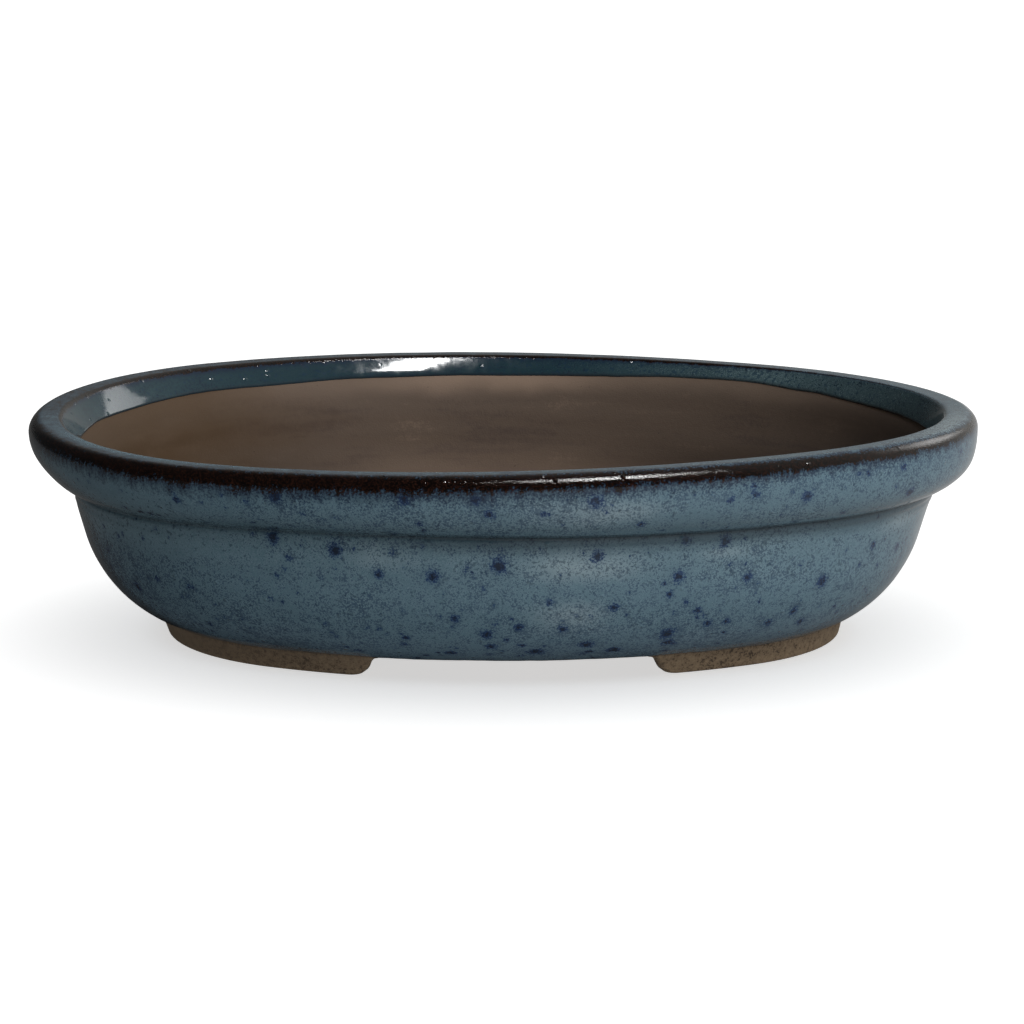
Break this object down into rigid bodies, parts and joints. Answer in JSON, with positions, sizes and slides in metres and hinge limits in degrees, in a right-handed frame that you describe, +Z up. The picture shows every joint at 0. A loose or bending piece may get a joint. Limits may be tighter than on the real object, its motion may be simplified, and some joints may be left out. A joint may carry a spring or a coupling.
{
  "type": "bonsai pot",
  "caption": "Shallow oval bonsai pot in glazed stoneware: curved belly, overhanging rounded rim band, pierced base slab and low curved feet under its ends.",
  "frame": {"origin": "middle of the oval, on the surface that the feet stand on", "axes": "+X along the pot's length, +Y to its back, +Z up"},
  "size_m": [0.26, 0.2, 0.0638],
  "materials": {
    "stoneware": "matt unglazed brown stoneware, fired to a fine sandy skin, with faint turning marks",
    "foot_clay": "matt unglazed sandy clay with fine dark and pale grains",
    "blue_glaze": "glossy mottled blue-grey glaze with fine navy speckle and scattered larger blue-black blotches",
    "lip_glaze": "the same glossy glaze, breaking to iron brown-black where it thins over the lip's edge"
  },
  "bodies": {
    "root": {"floor_slab": "stoneware", "bowl_wall": "stoneware", "rim_band": "stoneware", "foot_left": "foot_clay", "foot_right": "foot_clay", "wall_glaze": "blue_glaze", "band_glaze": "blue_glaze", "lip_glaze": "lip_glaze"}
  },
  "joints": []
}
